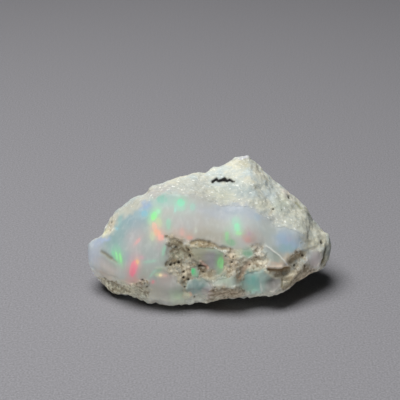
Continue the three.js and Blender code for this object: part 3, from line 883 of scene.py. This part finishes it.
def put_together(kind, first, second):
    """Two values put together: kind is ADD, MULTIPLY, SUBTRACT or MAXIMUM."""
    node = nodes.new("ShaderNodeMath")
    node.operation = kind
    for socket, value in zip(node.inputs, (first, second)):
        if isinstance(value, (int, float)):
            socket.default_value = value
        else:
            links.new(value, socket)
    return node.outputs["Value"]


def blended(share, first, second):
    """first where share is 0, second where it is 1. Each is a colour or a socket."""
    node = nodes.new("ShaderNodeMix")
    node.data_type = "RGBA"
    links.new(share, node.inputs["Factor"])
    for socket, value in ((node.inputs[6], first), (node.inputs[7], second)):
        if isinstance(value, tuple):
            socket.default_value = (*linear(value), 1)
        else:
            links.new(value, socket)
    return node.outputs[2]


def layered(base, layers):
    """Lays layers of noise over a colour, one after the other."""
    for size, squeeze, start, full, share, colour in layers:
        spots = drawn_out(size, squeeze) if squeeze else speckle(size)
        base = blended(stretch(spots, start, full, 0, share), base, colour)
    return base


MILK_WARM = (196, 190, 182)
MILK_COOL = (178, 190, 188)
MILK_LIGHT = (228, 230, 226)
RIND_PALE = (186, 196, 194)
RIND_CREAM = (204, 202, 184)
RIND_GREY = (164, 172, 168)
RIND_OLIVE = (150, 145, 116)
# White of the rind: white grains, with painted glints of light among them.
GRAIN_WHITE_AND_GLINT = (232, 234, 226)
POCKET_TAN = (172, 160, 132)
# Pale and brown of the pockets: real cream and brown grains, also used for painted light on granule tops
# and painted shade between them.
POCKET_PALE_AND_LIT = (222, 213, 190)
POCKET_BROWN_AND_SHADE = (122, 105, 78)
# Near black of tiny pits: painted shade in them.
POCKET_PIT_SHADE = (50, 42, 30)
ALONG_X = (0.3, 1, 1)
UPRIGHT = (1, 1, 0.22)

# Layers of noise: the size in mm, the squeeze of a streak, where the noise starts to show and where it
# shows in full, its share and its colour
BARE_MILK = (5.5, 0.4, 0.6)
BARE_RIND = (3.2, 0.42, 0.6)
RIND_LAYERS = [
    (1.5, None, 0.5, 0.66, 0.3, RIND_GREY),
    (1.0, None, 0.52, 0.66, 0.3, RIND_CREAM),
    (0.7, None, 0.61, 0.69, 0.8, GRAIN_WHITE_AND_GLINT),
    (0.8, None, 0.38, 0.3, 0.5, RIND_OLIVE),
    (0.5, ALONG_X, 0.52, 0.66, 0.4, RIND_GREY),
    (0.42, None, 0.58, 0.7, 0.45, GRAIN_WHITE_AND_GLINT),
]
MILK_LAYERS = [
    (2.2, None, 0.35, 0.65, 0.25, MILK_COOL),
    (0.8, UPRIGHT, 0.5, 0.7, 0.13, MILK_LIGHT),
]
POCKET_LAYERS = [
    (1.1, None, 0.45, 0.62, 0.4, POCKET_TAN),
    (0.8, None, 0.48, 0.62, 0.42, POCKET_BROWN_AND_SHADE),
    (0.6, None, 0.52, 0.66, 0.6, POCKET_PALE_AND_LIT),
    # The darkest specks are painted shade of tiny pits.
    (0.62, None, 0.42, 0.33, 0.42, POCKET_PIT_SHADE),
]

# Fine noise eats into the soft borders of the glass and of the pockets
CRUMB = 0.45
CRUMB_ROUGHNESS = 0.6
GLASS_BORDER = (0.35, 0.65)
POCKET_BORDER = (0.3, 0.75)
CRUMBS_FROM = (0.02, 0.2)
CRUMBS_OF_POCKET = 2.6
crumbs = put_together("SUBTRACT", speckle(CRUMB, 3, CRUMB_ROUGHNESS), 0.5)
glass_share = stretch(put_together("ADD", mask("glass"), crumbs), *GLASS_BORDER)
crumbled = put_together("MULTIPLY", stretch(mask("pocket"), *CRUMBS_FROM, 0, CRUMBS_OF_POCKET), crumbs)
pocket_share = stretch(put_together("ADD", mask("pocket"), crumbled), *POCKET_BORDER)

milk_size, milk_start, milk_full = BARE_MILK
rind_size, rind_start, rind_full = BARE_RIND
bare_milk = blended(stretch(speckle(milk_size), milk_start, milk_full), MILK_WARM, MILK_COOL)
bare_rind = blended(stretch(speckle(rind_size), rind_start, rind_full), RIND_PALE, RIND_CREAM)
tinted = blended(mask("tint", "Alpha"), blended(glass_share, bare_rind, bare_milk), mask("tint", "Color"))

crust = layered(tinted, RIND_LAYERS)
milk = layered(tinted, MILK_LAYERS)
milk = blended(mask("flash", "Alpha"), milk, mask("flash", "Color"))
ground = layered(tinted, POCKET_LAYERS)

# The pockets hold clusters of rounded granules. Their pale tops are painted light, and the brown between
# them is painted shade over the brown of the matrix.
GRANULE = 0.7
GRANULE_SHADED_GAPS = (0.42, 0.62, 0, 0.6)
GRANULE_LIT_TOPS = (0.3, 0.12, 0, 0.5)
CLUSTER = 2.4
CLUSTERED = (0.48, 0.56)
granules = nodes.new("ShaderNodeTexVoronoi")
granules.inputs["Scale"].default_value = 1 / (GRANULE * MM)
links.new(where, granules.inputs["Vector"])
granule_clusters = stretch(speckle(CLUSTER), *CLUSTERED)
for band, colour in ((GRANULE_SHADED_GAPS, POCKET_BROWN_AND_SHADE), (GRANULE_LIT_TOPS, POCKET_PALE_AND_LIT)):
    share = put_together("MULTIPLY", stretch(granules.outputs["Distance"], *band), granule_clusters)
    ground = blended(share, ground, colour)

colour = blended(glass_share, crust, milk)
colour = blended(pocket_share, colour, ground)
colour = blended(mask("mark", "Alpha"), colour, mask("mark", "Color"))
links.new(colour, shader.inputs["Base Color"])

GLASS_ROUGHNESS = 0.46
MATRIX_ROUGHNESS = 0.82
GRIT = 0.35
GRIT_DETAIL = 4
GRIT_ROUGHNESS = 0.65
GRIT_ON_GLASS = 0.05
BUMP_STRENGTH = 0.7
BUMP_HEIGHT = 0.14 * MM
MILKINESS = 0.3
MILK_RADIUS = (1.0, 0.9, 0.75)
MILK_DEPTH = 0.6 * MM
OPAL_IOR = 1.44
SHINE = 0.3
rough_share = put_together("MAXIMUM", put_together("SUBTRACT", 1.0, glass_share), pocket_share)
roughness = stretch(rough_share, 0, 1, GLASS_ROUGHNESS, MATRIX_ROUGHNESS)
links.new(roughness, shader.inputs["Roughness"])
gritty = stretch(rough_share, 0, 1, GRIT_ON_GLASS, 1)
grit = put_together("MULTIPLY", speckle(GRIT, GRIT_DETAIL, GRIT_ROUGHNESS), gritty)
bump = nodes.new("ShaderNodeBump")
bump.inputs["Strength"].default_value = BUMP_STRENGTH
bump.inputs["Distance"].default_value = BUMP_HEIGHT
links.new(grit, bump.inputs["Height"])
links.new(bump.outputs["Normal"], shader.inputs["Normal"])
shader.inputs["Subsurface Weight"].default_value = MILKINESS
shader.inputs["Subsurface Radius"].default_value = MILK_RADIUS
shader.inputs["Subsurface Scale"].default_value = MILK_DEPTH
shader.inputs["IOR"].default_value = OPAL_IOR
shader.inputs["Specular IOR Level"].default_value = SHINE

stone.data.materials.clear()
stone.data.materials.append(finish)
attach(stone, "root")
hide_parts("opal_stone")


# The floor is a wide sheet of plain grey paper with a faint fibre. It lies flat under the stone and is
# no part of it.
FLOOR_SIDE = 3.0
FLOOR_DARK = (107, 106, 109)
FLOOR_LIGHT = (152, 151, 155)
FIBRE = 0.35 * MM
PAPER_ROUGHNESS = 0.9
bpy.ops.mesh.primitive_plane_add(size=FLOOR_SIDE, location=(0, 0, 0))
floor = bpy.context.object
floor.name = "floor"
paper = bpy.data.materials.new("plain_paper")
paper.use_nodes = True
paper_nodes = paper.node_tree.nodes
paper_links = paper.node_tree.links
paper_where = paper_nodes.new("ShaderNodeTexCoord").outputs["Object"]
paper_fibre = paper_nodes.new("ShaderNodeTexNoise")
paper_fibre.inputs["Scale"].default_value = 1 / FIBRE
paper_fibre.inputs["Detail"].default_value = 1
paper_greys = paper_nodes.new("ShaderNodeMix")
paper_greys.data_type = "RGBA"
paper_greys.inputs[6].default_value = (*linear(FLOOR_DARK), 1)
paper_greys.inputs[7].default_value = (*linear(FLOOR_LIGHT), 1)
paper_shader = paper_nodes["Principled BSDF"]
paper_shader.inputs["Roughness"].default_value = PAPER_ROUGHNESS
paper_links.new(paper_where, paper_fibre.inputs["Vector"])
paper_links.new(paper_fibre.outputs["Fac"], paper_greys.inputs["Factor"])
paper_links.new(paper_greys.outputs[2], paper_shader.inputs["Base Color"])
floor.data.materials.append(paper)


# The light is plain and soft: a wide box overhead and a little to the left, a low fill from the
# camera's side, and a faint grey all round
LIGHTS = [
    ("overhead", (-0.095, -0.035, 0.4), (0.24, 0.24), 2.4),
    ("low_fill", (-0.05, -0.6, 0.016), (0.16, 0.022), 0.85),
]
LIT_PLACE = Vector((0, 0, 0.01))
AROUND = (190, 190, 194)
AROUND_STRENGTH = 0.015
for name, at, size, power in LIGHTS:
    bpy.ops.object.light_add(type="AREA", location=at)
    light = bpy.context.object
    light.name = name
    light.data.shape = "RECTANGLE"
    light.data.size, light.data.size_y = size
    light.data.energy = power
    light.visible_camera = False
    light.rotation_euler = (LIT_PLACE - Vector(at)).to_track_quat("-Z", "Y").to_euler()
world = bpy.data.worlds.new("studio")
bpy.context.scene.world = world
world.use_nodes = True
around = world.node_tree.nodes["Background"]
around.inputs["Color"].default_value = (*linear(AROUND), 1)
around.inputs["Strength"].default_value = AROUND_STRENGTH
bpy.context.scene.view_settings.view_transform = "Standard"
